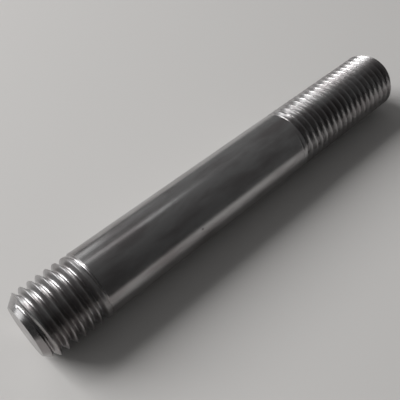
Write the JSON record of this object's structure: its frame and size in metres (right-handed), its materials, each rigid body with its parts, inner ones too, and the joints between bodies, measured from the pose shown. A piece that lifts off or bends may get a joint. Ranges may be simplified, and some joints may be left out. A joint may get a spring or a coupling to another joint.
{
  "type": "stud bolt",
  "caption": "Round steel stud with a coarse right-hand thread on each end, a short metal end and a longer nut end, and a smooth plain shank between them.",
  "frame": {"origin": "centre of the metal end's flat face, which is the end it stands on", "axes": "+Z along the axis, up to the nut end; X and Y square to it"},
  "size_m": [0.016, 0.016, 0.116],
  "materials": {
    "bright_steel": "bright turned steel, smooth shank, freshly cut threads, no plating"
  },
  "bodies": {
    "root": {"stud": "bright_steel"}
  },
  "joints": []
}
